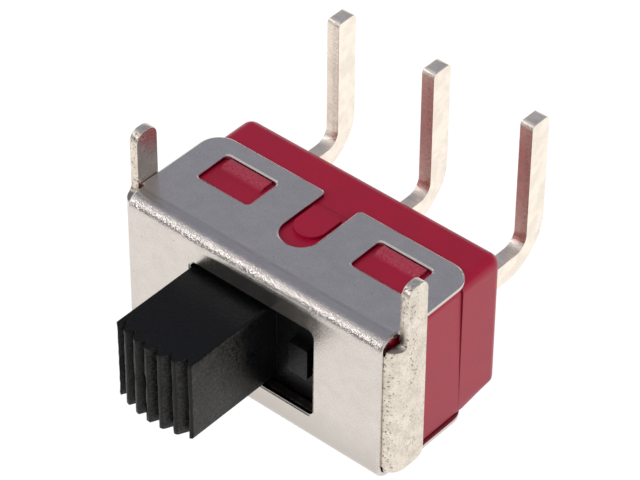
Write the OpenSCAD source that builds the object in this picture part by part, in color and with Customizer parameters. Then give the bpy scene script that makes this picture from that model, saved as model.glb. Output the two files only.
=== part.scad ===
// Miniature slide switch for a printed board. A pressed steel frame clips a moulded case
// to a tinned bracket, and a ribbed knob rocks one contact between two end terminals.
// X runs along the frame, the knob points to -Y and the terminals turn up to +Z.
// The origin is on the face that the switch rests on, midway between the bracket's pins.

/* [Frame] */
// Length of the flanges
frame_len = 12.7; // [12.4:0.1:15.4]
// Height over both flanges
frame_h = 6.86; // [6.6:0.1:8.3]
// Depth from the front plate to the back edges of the flanges
flange_depth = 5.2; // [5.1:0.1:6.2]
// Thickness of the sheet
frame_t = 0.2; // [0.16:0.01:0.36]
// Outer radius of the two bends
frame_bend_r = 0.6; // [0.4:0.05:0.7]
// Radius of the rear corners of the flanges
flange_corner_r = 0.95; // [0.3:0.05:1.2]
// How much shorter than the flanges the front plate is, at each end
plate_inset = 0.15; // [0.1:0.05:0.3]
// Distance from the front plate to the centre line of the bracket's pins
pin_row = 1.4; // [1.35:0.05:1.7]

/* [Snap windows] */
// Distance from the middle to the centre of each snap window
snap_x = 3.785; // [3.5:0.05:4.1]
// Length of a snap window
snap_len = 2.59; // [1.8:0.05:3.1]
// Distance from the front plate to a snap window
snap_from = 2.66; // [2.5:0.05:2.9]
// Width of a snap window
snap_w = 1.7; // [1.4:0.05:2.0]
// Width of the slot in the middle of each flange
slot_w = 1.66; // [1.2:0.05:2.0]
// Distance from the front plate to the round end of the slot
slot_from = 2.0; // [1.6:0.05:2.3]

/* [Knob] */
// Width of the knob along its travel
knob_w = 3.7; // [3.0:0.05:3.8]
// Height of the knob
knob_h = 3.66; // [2.6:0.02:3.8]
// Reach of the knob's sides in front of the plate
knob_reach = 3.96; // [2.4:0.05:6.0]
// Height of the knob's rounded front above its sides
knob_crown = 0.41; // [0.1:0.05:0.8]
// Number of grooves between the ribs
groove_count = 6; // [2:2:6]
// Distance between grooves
groove_pitch = 0.62; // [0.35:0.01:0.62]
// Width of a V groove at its mouth
groove_w = 0.44; // [0.2:0.02:0.5]
// Depth of a groove
groove_depth = 0.38; // [0.1:0.02:0.5]
// Travel of the knob from end to end
travel = 2.3; // [1.2:0.1:2.4]

/* [Bracket] */
// Thickness of the bracket's strip
bracket_t = 0.4; // [0.3:0.02:0.48]
// Outer radius of the bracket's bends
bracket_bend_r = 0.7; // [0.6:0.05:0.8]
// Width of a bracket pin
bracket_pin_w = 1.1; // [0.9:0.05:1.2]
// Height of the bracket's pins above the upper flange
bracket_pin_h = 2.3; // [1.5:0.05:4.0]

/* [Case] */
// Depth from the front plate to the back of the case
case_depth = 7.0; // [6.85:0.05:8.3]
// Radius of the case's edges along its depth and round its back
case_edge_r = 0.5; // [0.2:0.05:0.65]
// How far the rear of the case stands proud of its clipped part, at each end
case_step = 0.07; // [0.02:0.01:0.1]
// Thickness of the case behind the contact chamber
case_back_t = 1.85; // [1.5:0.05:2.0]
// Depth of the sealing resin
seal_t = 0.55; // [0.3:0.05:0.8]

/* [Terminals] */
// Distance between terminals
term_pitch = 4.7; // [3.9:0.05:4.8]
// Thickness of a terminal's blade
term_t = 0.6; // [0.4:0.02:0.72]
// Width of a terminal's blade
term_w = 1.0; // [0.8:0.05:1.2]
// Distance from the front plate to the centre line of the upright terminals
term_row = 10.55; // [9.8:0.05:12.6]
// Height of the terminals above the upper flange
term_h = 3.25; // [1.5:0.05:5.0]
// Radius inside a terminal's elbow
term_in_r = 0.6; // [0.3:0.05:1.2]
// Radius outside a terminal's elbow
term_out_r = 2.1; // [1.4:0.05:2.4]
// Radius of the rounding over a terminal's tip
term_tip_r = 0.25; // [0.2:0.05:0.5]
// Height of the terminals' exit above the middle of the case
term_rise = 0.3; // [0:0.05:0.4]

/* [Contact] */
// Thickness of the rocking contact
rocker_t = 0.35; // [0.25:0.01:0.42]
// Height of the rocking contact
rocker_h = 2.1; // [1.7:0.1:2.2]
// Tilt of the rocking contact each way
rocker_tilt = 4; // [2:0.5:4.5]
// Outer diameter of the detent spring
spring_d = 1.4; // [1.1:0.05:1.6]
// Diameter of the spring's wire
wire_d = 0.2; // [0.14:0.02:0.24]
// Number of turns of the spring
spring_turns = 9; // [5:1:12]

/* [Hidden] */
$fn = 64;
// Small overlap that keeps joined solids whole and cuts clean
eps = 0.02;
// Play between the sliding pieces
slide_gap = 0.05;
// Play left at each end of the knob's travel
stop_gap = 0.01;
// Radial play of the plunger in its bore
bore_gap = 0.05;
// Air left between pieces that only come close
air = 0.1;
// Gap between the knob and the window, above and below
knob_gap = 0.25;
// How far the case stands in from the ends of the flanges
case_inset = 0.17;
// How far the ears of the bracket stand clear of the flanges
ear_gap = 0.02;
// How far the ears stay in from the insides of the flanges
ear_inset = 0.24;
// Width left at the bottom of a groove of the knob
groove_root = 0.06;
// How far the row of grooves stands off the middle of the knob
groove_shift = 0.03;
// Distance from the front plate to the line where the case widens
part_line = 4.65;

mid_z = frame_h / 2;
roof_z = frame_h - frame_t;
plate_y = -pin_row;
plate_half = frame_len / 2 - plate_inset;
flange_half = frame_len / 2;
flange_y = plate_y + flange_depth;
relief_y = plate_y + 1.0;

window_half = knob_w / 2 + travel / 2 + stop_gap;
window_h = knob_h + 2 * knob_gap;
window_r = 0.25;
snap_lo_y = plate_y + snap_from;
snap_hi_y = snap_lo_y + snap_w;
slot_lo_y = plate_y + slot_from;

web_y = plate_y + frame_t;
ear_in = flange_half + ear_gap;
ear_out = ear_in + bracket_t;
ear_y = bracket_pin_w / 2;
ear_lo_z = frame_t + ear_inset;
ear_hi_z = frame_h - ear_lo_z;
pin_top = frame_h + bracket_pin_h;
web_in_z = frame_bend_r + slide_gap;

rim_y = web_y + bracket_t;
lug_h = 1.45;
lug_len = 0.95;
lug_reach = 1.85;
carriage_t = 1.6;
carriage_lap = 0.25;
carriage_y = rim_y + slide_gap;
carriage_back = carriage_y + carriage_t;
carriage_half = window_half + travel / 2 + carriage_lap - air;
carriage_h = window_h + 2 * carriage_lap;
lug_half = knob_w / 2 + lug_reach;
start_x = -travel / 2;
ledge_y = carriage_back + slide_gap;
cavity_half = carriage_half + travel / 2 + air;
cavity_h = carriage_h + 2 * slide_gap;

case_half = flange_half - case_inset;
case_back = plate_y + case_depth;
part_y = plate_y + part_line;
wall_y = case_back - case_back_t;
seal_y = case_back - seal_t - slide_gap;

term_z = mid_z + term_rise;
term_y = plate_y + term_row;
rocker_ear = 0.25;
head_h = rocker_h - air;
pad_w = 0.9;
pad_h = rocker_h - 0.5;
pad_t = 0.27;
chamber_half = term_pitch + pad_w / 2 + air;
chamber_h = rocker_h + 2 * rocker_ear + 0.46;

pivot_r = 0.15;
pivot_y = wall_y - 1.05;
pivot_sink = 0.03;
contact_gap = 0.03;
rocker_half = term_pitch + 0.15;
rocker_back = pivot_y - pivot_sink;
rocker_front = rocker_back - rocker_t;
pad_y = rocker_back + term_pitch * tan(rocker_tilt) + contact_gap;
head_y = pad_y + pad_t;

bore_d = spring_d + 0.3;
boss_d = bore_d + 0.9;
bore_front = plate_y - knob_reach + 1.3;
coil_gap = 0.02;
nose_d = 1.1;
nose_y = rocker_front + travel / 2 * tan(rocker_tilt) - air;
head_back = nose_y - 0.45;
boss_y = head_back - 0.15;
spring_back = carriage_back - 0.2;

knob_side_y = plate_y - knob_reach;
knob_front_y = knob_side_y - knob_crown;
crown_r = knob_w * knob_w / (8 * knob_crown) + knob_crown / 2;

steel = "#9a9b9f";
tin = "#e6dfd0";
red = "#9c1535";
black = "#1c1c20";
silver = "#c9c4ba";
resin = "#2b2a2c";

// Rectangle between two corners
module rect(lo, hi) {
    translate(lo) square(hi - lo);
}

// Rectangle between two corners, with all its corners rounded
module soft_rect(lo, hi, r) {
    rect([lo.x + r, lo.y], [hi.x - r, hi.y]);
    rect([lo.x, lo.y + r], [hi.x, hi.y - r]);
    for (x = [lo.x + r, hi.x - r], y = [lo.y + r, hi.y - r]) translate([x, y]) circle(r);
}

// What is cut away to round a corner whose body lies towards side.x and side.y
module nick(corner, side, r) {
    difference() {
        translate([
            corner.x - (side.x > 0 ? eps : r),
            corner.y - (side.y > 0 ? eps : r)
        ]) square(r + eps);
        translate([corner.x + side.x * r, corner.y + side.y * r]) circle(r);
    }
}

// Extrudes a (Y, Z) outline from x0 to x1
module along_x(x0, x1) {
    translate([x0, 0, 0]) rotate([90, 0, 90]) linear_extrude(x1 - x0) children();
}

// Extrudes an (X, Z) outline from y0 to y1
module along_y(y0, y1) {
    translate([0, y1, 0]) rotate([90, 0, 0]) linear_extrude(y1 - y0) children();
}

// Extrudes an (X, Y) outline from z0 to z1
module along_z(z0, z1) {
    translate([0, 0, z0]) linear_extrude(z1 - z0) children();
}

// The children, and their mirror image across the middle of the length
module both_ends() {
    children();
    mirror([1, 0, 0]) children();
}

// The children, and their mirror image across the middle of the height
module both_faces() {
    children();
    translate([0, 0, frame_h]) mirror([0, 0, 1]) children();
}

// Round bar along Y
module rod(d, y0, y1) {
    translate([0, y1, mid_z]) rotate([90, 0, 0]) cylinder(d = d, h = y1 - y0);
}

// Opening for the knob, as an (X, Z) outline
module knob_window() {
    soft_rect([-window_half, mid_z - window_h / 2], [window_half, mid_z + window_h / 2], window_r);
}

// ---- Pressed steel frame ----

// Section of the frame, as a (Y, Z) outline open at the back
module frame_section() {
    difference() {
        rect([plate_y, 0], [flange_y, frame_h]);
        for (z = [0, frame_h]) nick([plate_y, z], [1, z > 0 ? -1 : 1], frame_bend_r);
        difference() {
            rect([web_y, frame_t], [flange_y + eps, roof_z]);
            for (z = [frame_t, roof_z])
                nick([web_y, z], [1, z > mid_z ? -1 : 1], frame_bend_r - frame_t);
        }
    }
}

// Plan of a flange: rounded rear corners, relieved ends beside the bend and an open slot
module flange_plan() {
    difference() {
        rect([-flange_half, plate_y - eps], [flange_half, flange_y]);
        for (s = [-1, 1]) {
            nick([s * flange_half, flange_y], [-s, -1], flange_corner_r);
            translate([s * (plate_half + plate_inset), 0])
                soft_rect([-plate_inset, plate_y - 1], [plate_inset, relief_y], plate_inset * 0.6);
            nick([s * slot_w / 2, flange_y], [s, -1], 0.18);
        }
        translate([0, slot_lo_y + slot_w / 2]) circle(d = slot_w);
        rect([-slot_w / 2, slot_lo_y + slot_w / 2], [slot_w / 2, flange_y + eps]);
        for (s = [-1, 1]) translate([s * snap_x, 0])
            soft_rect([-snap_len / 2, snap_lo_y], [snap_len / 2, snap_hi_y], 0.2);
    }
}

module frame() {
    color(steel) difference() {
        intersection() {
            along_x(-flange_half, flange_half) frame_section();
            along_z(0, frame_h) flange_plan();
        }
        along_y(plate_y - eps, web_y + eps) knob_window();
    }
}

// ---- Tinned bracket ----

// Plan of the bracket's strip: a web with an ear turned back at each end
module bracket_plan() {
    difference() {
        rect([-ear_out, web_y], [ear_out, ear_y]);
        for (s = [-1, 1]) nick([s * ear_out, web_y], [-s, 1], bracket_bend_r);
        difference() {
            rect([-ear_in, rim_y], [ear_in, ear_y + eps]);
            for (s = [-1, 1]) nick([s * ear_in, rim_y], [-s, 1], bracket_bend_r - bracket_t);
        }
    }
}

// Side of an ear and its pin, as a (Y, Z) outline
module ear_side() {
    root_r = 0.22;
    difference() {
        union() {
            rect([web_y, ear_lo_z], [ear_y, ear_hi_z]);
            rect([-ear_y, ear_lo_z], [ear_y, pin_top]);
            rect([-ear_y - root_r, ear_hi_z - eps], [-ear_y + eps, ear_hi_z + root_r]);
        }
        translate([-ear_y - root_r, ear_hi_z + root_r]) circle(root_r);
        nick([ear_y, ear_lo_z], [-1, 1], 0.4);
        nick([-ear_y, pin_top], [1, -1], 0.48);
        nick([ear_y, pin_top], [-1, -1], 0.48);
    }
}

module bracket() {
    slot_half = lug_half + travel / 2 + slide_gap;
    color(tin) difference() {
        intersection() {
            along_z(frame_t, pin_top) bracket_plan();
            union() {
                along_x(-plate_half - 0.1, plate_half + 0.1)
                    rect([web_y, web_in_z], [rim_y, frame_h - web_in_z]);
                both_ends() along_x(plate_half + 0.05, ear_out) ear_side();
            }
        }
        along_y(web_y - eps, rim_y + eps) {
            knob_window();
            soft_rect(
                [-slot_half, mid_z - lug_h / 2 - slide_gap],
                [slot_half, mid_z + lug_h / 2 + slide_gap], 0.1
            );
        }
    }
}

// ---- Moulded case ----

// Outside of the case with its ends at a given half length
module case_blank(half) {
    intersection() {
        along_y(rim_y, case_back) soft_rect([-half, frame_t], [half, roof_z], case_edge_r);
        along_z(0, frame_h) difference() {
            rect([-half, rim_y], [half, case_back]);
            for (s = [-1, 1]) {
                nick([s * half, rim_y], [-s, 1], 0.35);
                nick([s * half, case_back], [-s, -1], case_edge_r);
            }
        }
        along_x(-half, half) difference() {
            rect([rim_y, frame_t], [case_back, roof_z]);
            for (z = [frame_t, roof_z])
                nick([case_back, z], [-1, z > mid_z ? -1 : 1], case_edge_r);
        }
    }
}

// Wedge that a snap window drops over
module snap_wedge() {
    play = 0.26;
    top = roof_z + frame_t - slide_gap;
    back = snap_hi_y - slide_gap;
    along_x(snap_x - snap_len / 2 + play, snap_x + snap_len / 2 - play)
        polygon([
            [back - 0.8, roof_z - eps], [back - 0.4, top], [back, top], [back, roof_z - eps]
        ]);
}

// Boss that stands in a flange's slot
module slot_boss() {
    half = slot_w / 2 - 0.15;
    front = slot_lo_y + 0.72;
    along_z(roof_z - eps, roof_z + frame_t - slide_gap) {
        translate([0, front + half]) circle(half);
        rect([-half, front + half], [half, snap_hi_y - 0.02]);
    }
}

module case() {
    color(red) difference() {
        union() {
            case_blank(case_half);
            intersection() {
                case_blank(case_half + case_step);
                along_y(part_y, case_back) rect([-frame_len, 0], [frame_len, frame_h]);
            }
            both_faces() {
                both_ends() snap_wedge();
                slot_boss();
            }
        }
        // Guide for the slider's carriage
        along_y(rim_y - eps, ledge_y)
            soft_rect(
                [-cavity_half, mid_z - cavity_h / 2], [cavity_half, mid_z + cavity_h / 2], 0.2
            );
        // Chamber for the rocking contact
        along_y(ledge_y - eps, wall_y)
            soft_rect(
                [-chamber_half, mid_z - chamber_h / 2], [chamber_half, mid_z + chamber_h / 2], 0.3
            );
        // Slots for the terminals
        for (i = [-1:1])
            along_y(wall_y - eps, case_back + eps)
                rect(
                    [i * term_pitch - term_t / 2, term_z - term_w / 2],
                    [i * term_pitch + term_t / 2, term_z + term_w / 2]
                );
        // Trough for the sealing resin
        along_y(seal_y, case_back + eps)
            soft_rect(
                [-chamber_half, mid_z - chamber_h / 2], [chamber_half, mid_z + chamber_h / 2], 0.3
            );
    }
}

module terminal_seal() {
    color(resin) difference() {
        along_y(seal_y, seal_y + seal_t)
            soft_rect(
                [-chamber_half, mid_z - chamber_h / 2], [chamber_half, mid_z + chamber_h / 2], 0.3
            );
        for (i = [-1:1])
            along_y(seal_y - eps, case_back + eps)
                rect(
                    [i * term_pitch - term_t / 2, term_z - term_w / 2],
                    [i * term_pitch + term_t / 2, term_z + term_w / 2]
                );
    }
}

// ---- Slider ----

// Distance that the crowned front has fallen back at a given X from the knob's middle
function crown_fall(x) = crown_r - sqrt(crown_r * crown_r - x * x);

// Plan of the knob: a crowned front cut by grooves
module knob_plan() {
    difference() {
        intersection() {
            rect([-knob_w / 2, knob_front_y], [knob_w / 2, carriage_y + eps]);
            union() {
                translate([0, knob_front_y + crown_r]) circle(crown_r, $fn = 128);
                rect([-knob_w / 2, knob_side_y + 0.1], [knob_w / 2, carriage_y + eps]);
            }
        }
        for (i = [0:groove_count - 1]) {
            x = (i - (groove_count - 1) / 2) * groove_pitch - groove_shift;
            mouth = knob_front_y + crown_fall(x);
            polygon([
                [x - groove_w / 2 - 0.1, mouth - 0.3], [x + groove_w / 2 + 0.1, mouth - 0.3],
                [x + groove_w / 2, mouth], [x + groove_root / 2, mouth + groove_depth],
                [x - groove_root / 2, mouth + groove_depth], [x - groove_w / 2, mouth]
            ]);
        }
    }
}

module slider() {
    color(black) translate([start_x, 0, 0]) difference() {
        union() {
            // Knob
            intersection() {
                along_z(mid_z - knob_h / 2, mid_z + knob_h / 2) knob_plan();
                along_y(knob_front_y - eps, carriage_y + eps)
                    soft_rect(
                        [-knob_w / 2, mid_z - knob_h / 2], [knob_w / 2, mid_z + knob_h / 2], 0.08
                    );
            }
            // Carriage behind the bracket
            along_y(carriage_y, carriage_back)
                soft_rect(
                    [-carriage_half, mid_z - carriage_h / 2],
                    [carriage_half, mid_z + carriage_h / 2], 0.15
                );
            // Guide lugs in the bracket's side slots
            for (s = [-1, 1])
                translate([s * (lug_half - lug_len / 2), 0, 0])
                    along_y(web_y + slide_gap, carriage_y + eps)
                        soft_rect(
                            [-lug_len / 2, mid_z - lug_h / 2], [lug_len / 2, mid_z + lug_h / 2], 0.1
                        );
            // Boss round the plunger
            rod(boss_d, carriage_back - eps, boss_y);
        }
        // Bore for the spring and the plunger
        rod(bore_d, bore_front, boss_y + eps);
    }
}

// ---- Detent and contact ----

// Plunger: a guided head with a spigot for the spring and a round nose
module plunger() {
    head_r = bore_d / 2 - bore_gap;
    spigot_r = spring_d / 2 - wire_d - 0.08;
    nose_r = nose_d / 2;
    color(silver) translate([start_x, 0, mid_z]) rotate([-90, 0, 0]) rotate_extrude()
        intersection() {
            rect([0, spring_back - 0.7], [head_r, nose_y]);
            union() {
                rect([0, spring_back - 0.7], [spigot_r, spring_back + eps]);
                rect([0, spring_back], [head_r, head_back]);
                rect([0, spring_back], [nose_r, nose_y - nose_r]);
                translate([0, nose_y - nose_r]) circle(nose_r);
            }
        }
}

// Detent spring: round wire wound about the slider's bore
module detent_spring() {
    sides = 8;
    steps = 12;
    coil_r = (spring_d - wire_d) / 2;
    len = spring_back - bore_front - wire_d - 2 * coil_gap;
    closed = wire_d * 1.08;
    pitch = (len - 2 * closed) / (spring_turns - 2);
    function coil_y(u) = closed * (min(u, 1) + max(u - spring_turns + 1, 0))
        + pitch * min(max(u - 1, 0), spring_turns - 2);
    rings = spring_turns * steps;
    points = [
        for (i = [0:rings], k = [0:sides - 1])
            let (
                turn = 360 * i / steps,
                r = coil_r + wire_d / 2 * cos(360 * k / sides),
                y = coil_y(i / steps) + wire_d / 2 * sin(360 * k / sides)
            )
            [r * cos(turn), y, r * sin(turn)]
    ];
    skin = [
        for (i = [0:rings - 1], k = [0:sides - 1])
            let (a = i * sides + k, b = i * sides + (k + 1) % sides)
            [a, b, b + sides, a + sides]
    ];
    first = [for (k = [sides - 1:-1:0]) k];
    last = [for (k = [0:sides - 1]) rings * sides + k];
    color(steel)
        translate([start_x, bore_front + wire_d / 2 + coil_gap, mid_z])
            polyhedron(points, concat(skin, [first, last]));
}

// Rocking contact: a flat bar with a knife groove and two ears that straddle the fulcrum
module rocker() {
    color(silver) translate([0, pivot_y, 0]) rotate([0, 0, -rocker_tilt]) translate([0, -pivot_y, 0])
        difference() {
            union() {
                along_y(rocker_front, rocker_back)
                    soft_rect(
                        [-rocker_half, mid_z - rocker_h / 2], [rocker_half, mid_z + rocker_h / 2], 0.3
                    );
                both_faces() along_z(mid_z + rocker_h / 2 - eps, mid_z + rocker_h / 2 + rocker_ear)
                    soft_rect([-0.7, rocker_front], [0.7, rocker_back + 0.45], 0.15);
            }
            translate([0, pivot_y, -eps]) cylinder(r = pivot_r + pivot_sink, h = frame_h);
        }
}

// ---- Terminals ----

// Blade of a terminal, as a (Y, Z) outline: out through the case and up
module blade_side(front) {
    top = frame_h + term_h;
    difference() {
        union() {
            rect([front, term_z - term_w / 2], [term_y + term_w / 2, term_z + term_w / 2]);
            rect([term_y - term_w / 2, term_z - term_w / 2], [term_y + term_w / 2, top]);
            difference() {
                rect(
                    [term_y - term_w / 2 - term_in_r, term_z + term_w / 2 - eps],
                    [term_y - term_w / 2 + eps, term_z + term_w / 2 + term_in_r]
                );
                translate([term_y - term_w / 2 - term_in_r, term_z + term_w / 2 + term_in_r])
                    circle(term_in_r);
            }
        }
        nick([term_y + term_w / 2, term_z - term_w / 2], [-1, 1], term_out_r);
        for (s = [-1, 1]) nick([term_y + s * term_w / 2, top], [-s, -1], term_tip_r);
    }
}

// Blade with the two long sides of its tip bevelled
module blade(front) {
    top = frame_h + term_h;
    bevel = 0.06;
    intersection() {
        along_x(-term_t / 2, term_t / 2) blade_side(front);
        along_y(front, term_y + term_w)
            polygon([
                [-term_t / 2, 0], [term_t / 2, 0], [term_t / 2, top - bevel],
                [term_t / 2 - bevel, top], [bevel - term_t / 2, top], [-term_t / 2, top - bevel]
            ]);
    }
}

// Terminal with a wide head that seats on the chamber's wall
module end_terminal(side) {
    color(silver) translate([side * term_pitch, 0, 0]) union() {
        blade(head_y);
        along_x(-term_t / 2, term_t / 2)
            rect([head_y, mid_z - head_h / 2], [wall_y, mid_z + head_h / 2]);
    }
}

module left_terminal() {
    end_terminal(-1);
}

module right_terminal() {
    end_terminal(1);
}

// Centre terminal, whose head ends in the knife edge that the contact rocks on
module centre_terminal() {
    color(silver) union() {
        blade(wall_y - 0.3);
        along_x(-term_t / 2, term_t / 2)
            rect([pivot_y + 0.45, mid_z - head_h / 2], [wall_y, mid_z + head_h / 2]);
        along_z(mid_z - head_h / 2, mid_z + head_h / 2) {
            translate([0, pivot_y]) circle(pivot_r);
            polygon([
                [-pivot_r, pivot_y], [pivot_r, pivot_y],
                [term_t / 2, pivot_y + 0.45 + eps], [-term_t / 2, pivot_y + 0.45 + eps]
            ]);
        }
    }
}

// Silver pad with a rounded face on an end terminal
module contact_pad(side) {
    face_r = 1.0;
    color("#dcd9d2") translate([side * term_pitch, 0, 0]) intersection() {
        along_y(pad_y, head_y)
            soft_rect([-pad_w / 2, mid_z - pad_h / 2], [pad_w / 2, mid_z + pad_h / 2], 0.1);
        translate([0, pad_y + face_r, 0]) cylinder(r = face_r, h = frame_h);
    }
}

module left_contact() {
    contact_pad(-1);
}

module right_contact() {
    contact_pad(1);
}

frame();
bracket();
case();
slider();
plunger();
detent_spring();
rocker();
centre_terminal();
left_terminal();
right_terminal();
left_contact();
right_contact();
terminal_seal();
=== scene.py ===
"""Finishes, softened edges and a soft studio for a miniature slide switch."""

import math
import random

import bmesh
import bpy
from mathutils import Matrix, Vector


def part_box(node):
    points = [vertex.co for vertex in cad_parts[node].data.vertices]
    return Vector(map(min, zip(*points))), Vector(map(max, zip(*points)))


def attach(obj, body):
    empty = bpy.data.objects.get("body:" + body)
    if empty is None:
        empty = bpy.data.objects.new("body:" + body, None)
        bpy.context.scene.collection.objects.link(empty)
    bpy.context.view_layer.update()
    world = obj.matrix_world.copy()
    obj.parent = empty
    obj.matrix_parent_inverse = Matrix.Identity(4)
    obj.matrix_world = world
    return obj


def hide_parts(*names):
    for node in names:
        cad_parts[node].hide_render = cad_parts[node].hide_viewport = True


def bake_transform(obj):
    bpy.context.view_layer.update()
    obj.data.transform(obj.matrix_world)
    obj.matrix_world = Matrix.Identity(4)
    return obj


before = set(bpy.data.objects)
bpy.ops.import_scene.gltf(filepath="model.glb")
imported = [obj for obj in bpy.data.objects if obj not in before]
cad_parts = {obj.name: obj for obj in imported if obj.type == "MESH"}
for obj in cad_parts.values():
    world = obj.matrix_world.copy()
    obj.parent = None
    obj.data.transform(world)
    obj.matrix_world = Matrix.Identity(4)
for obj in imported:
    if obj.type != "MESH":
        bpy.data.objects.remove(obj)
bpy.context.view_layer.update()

bl_info = {
    "name": "Slide Switch Finishes",
    "version": (1, 0, 0),
    "blender": (4, 5, 0),
    "location": "3D View > Sidebar > Slide Switch",
    "description": "Softens the slide switch's edges and adds its finishes and a studio",
    "category": "Object",
}

# A millimetre, in Blender's metres
MM = 0.001

# Faces turned less than this against each other are one flat face
FLAT = math.radians(0.6)
# An edge turned more than this is a real edge of the piece, not part of a curve
REAL_EDGE = math.radians(30)

# The sizes below are in millimetres

# Points closer than this are one point
SAME_PLACE = 0.001
# A cut that passes a point closer than this goes through it
CUT_SNAP = 0.0001
# The frame: thickness of its sheet, and outer radius of its bends
SHEET = 0.2
SHEET_BEND = 0.6
# Nearer the middle than this, a cut edge of the metal sheets belongs to an opening
OPENINGS_END = 5.6
# The case: radius of its edges and of its lower ones, and how far back its mould parts
CASE_EDGE = 0.5
LOW_EDGE = 0.2
MOULD_LINE = 3.25
# The terminals: distance between them, and radius at the back of their tips
TERMINAL_PITCH = 4.7
TERMINAL_TIP = 0.3
# The slider: rounding of its edges, depth of its ribbed front, height of the ribs' foot,
# height of each length of rib that frays by itself, and the most that it frays
SLIDER_EDGE = 0.02
RIBBED_DEPTH = 0.85
RIB_FOOT = 1.6
RIB_LENGTH = 0.26
FRAY = 0.035

# The lower corners of the case go this share of the way to a ball
LOW_CORNER_SHARE = 0.6
# Cuts across what is bent afterwards: each edge at the case's corners, a terminal's tip
# and the ribs
CORNER_CUTS = 4
TIP_CUTS = 7
RIB_CUTS = 13
# Start of the random draws for the frayed ribs
FRAY_SEED = 7


# ---- Properties ----


class SwitchEdges(bpy.types.PropertyGroup):
    """How far the edges of each kind of piece are rounded."""

    pressed: bpy.props.FloatProperty(
        name="Pressed steel",
        description="Rounding that the press leaves on the frame's edges, in millimetres",
        default=0.03,
        min=0.01,
        max=0.05,
    )
    roll: bpy.props.FloatProperty(
        name="Rolled rim",
        description="Width of the rim that the punch drags down on the frame, in millimetres",
        default=0.08,
        min=0.02,
        max=0.12,
    )
    roll_drop: bpy.props.FloatProperty(
        name="Rim's drop",
        description="How far that rim goes down at the cut, in millimetres",
        default=0.034,
        min=0.0,
        max=0.05,
    )
    plated: bpy.props.FloatProperty(
        name="Plated brass",
        description="Rounding of the bracket's edges under its plating, in millimetres",
        default=0.045,
        min=0.01,
        max=0.05,
    )
    legs: bpy.props.FloatProperty(
        name="Terminal legs",
        description="Rounding of the edges of the terminals, in millimetres",
        default=0.02,
        min=0.01,
        max=0.05,
    )
    moulded: bpy.props.FloatProperty(
        name="Mouldings",
        description="Rounding of the edges of the moulded pieces, in millimetres",
        default=0.03,
        min=0.01,
        max=0.05,
    )


class SwitchColours(bpy.types.PropertyGroup):
    """Colours of the finishes, as sRGB hex values."""

    steel: bpy.props.StringProperty(
        name="Steel", description="Cold-rolled stainless steel", default="ded6ce"
    )
    tin: bpy.props.StringProperty(
        name="Tin", description="Barrel-plated tin on brass", default="efe4d5"
    )
    case: bpy.props.StringProperty(
        name="Case", description="Red thermoset moulding", default="98002a"
    )
    nylon: bpy.props.StringProperty(
        name="Knob", description="Black glass-filled nylon", default="070708"
    )
    terminal: bpy.props.StringProperty(
        name="Terminals", description="Silver-plated brass", default="fef2e3"
    )
    resin: bpy.props.StringProperty(
        name="Seal", description="Epoxy that seals the terminals", default="8a0e26"
    )


class SwitchStudio(bpy.types.PropertyGroup):
    """The camera in front of the switch."""

    azimuth: bpy.props.FloatProperty(
        name="Azimuth",
        description="Camera's angle round the switch",
        default=math.radians(40.675),
        subtype="ANGLE",
        unit="ROTATION",
    )
    elevation: bpy.props.FloatProperty(
        name="Elevation",
        description="Camera's angle above the floor",
        default=math.radians(40.896),
        subtype="ANGLE",
        unit="ROTATION",
    )
    roll: bpy.props.FloatProperty(
        name="Roll",
        description="Camera's turn about its own axis",
        default=math.radians(0.402),
        subtype="ANGLE",
        unit="ROTATION",
    )
    distance: bpy.props.FloatProperty(
        name="Distance",
        description="From the camera to the plane through the aim point",
        default=0.1262,
        unit="LENGTH",
    )
    lens: bpy.props.FloatProperty(
        name="Lens", description="Focal length in millimetres on a 36 mm sensor", default=188.5
    )


# ---- Shader helpers ----


def colour(text):
    """Linear RGBA of an sRGB hex value."""
    parts = [int(text[i : i + 2], 16) / 255 for i in (0, 2, 4)]
    return tuple(p / 12.92 if p <= 0.04045 else ((p + 0.055) / 1.055) ** 2.4 for p in parts) + (1,)


def add(tree, kind, inputs=(), out=0, **settings):
    """Adds a node with its settings and links, and gives its output named or numbered out.

    The inputs, by name or in order, are values or sockets to link. The settings are the
    node's own properties.
    """
    made = tree.nodes.new("ShaderNode" + kind)
    for key, value in settings.items():
        setattr(made, key, value)
    for key, value in inputs.items() if isinstance(inputs, dict) else enumerate(inputs):
        if isinstance(value, bpy.types.NodeSocket):
            tree.links.new(value, made.inputs[key])
        else:
            made.inputs[key].default_value = value
    return made.outputs[out] if made.outputs else None


def shade(tone, share):
    """The colour at a share of its brightness."""
    return tuple(c * share for c in tone[:3]) + (1,)


def new_material(name, **surface):
    """A material with one Principled shader. Its constant values are set on the shader itself."""
    material = bpy.data.materials.new(name)
    material.use_nodes = True
    tree = material.node_tree
    tree.nodes.clear()
    shader = add(tree, "BsdfPrincipled", surface).node
    add(tree, "OutputMaterial", {"Surface": shader.outputs[0]})
    return material, tree, shader


def in_millimetres(tree, stretch=(1, 1, 1)):
    """Position on the piece in millimetres, stretched along its axes where a grain runs."""
    scale = tuple(1 / (MM * s) for s in stretch)
    place = add(tree, "TexCoord", out="Object")
    return add(tree, "Mapping", {"Vector": place, "Scale": scale})


# ---- Finishes ----


def sheet_section():
    """The folded sheet from its end: its front, middle height and half height, in millimetres."""
    low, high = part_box("frame")
    return low.y / MM, (low.z + high.z) / 2 / MM, (high.z - low.z) / 2 / MM


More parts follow.
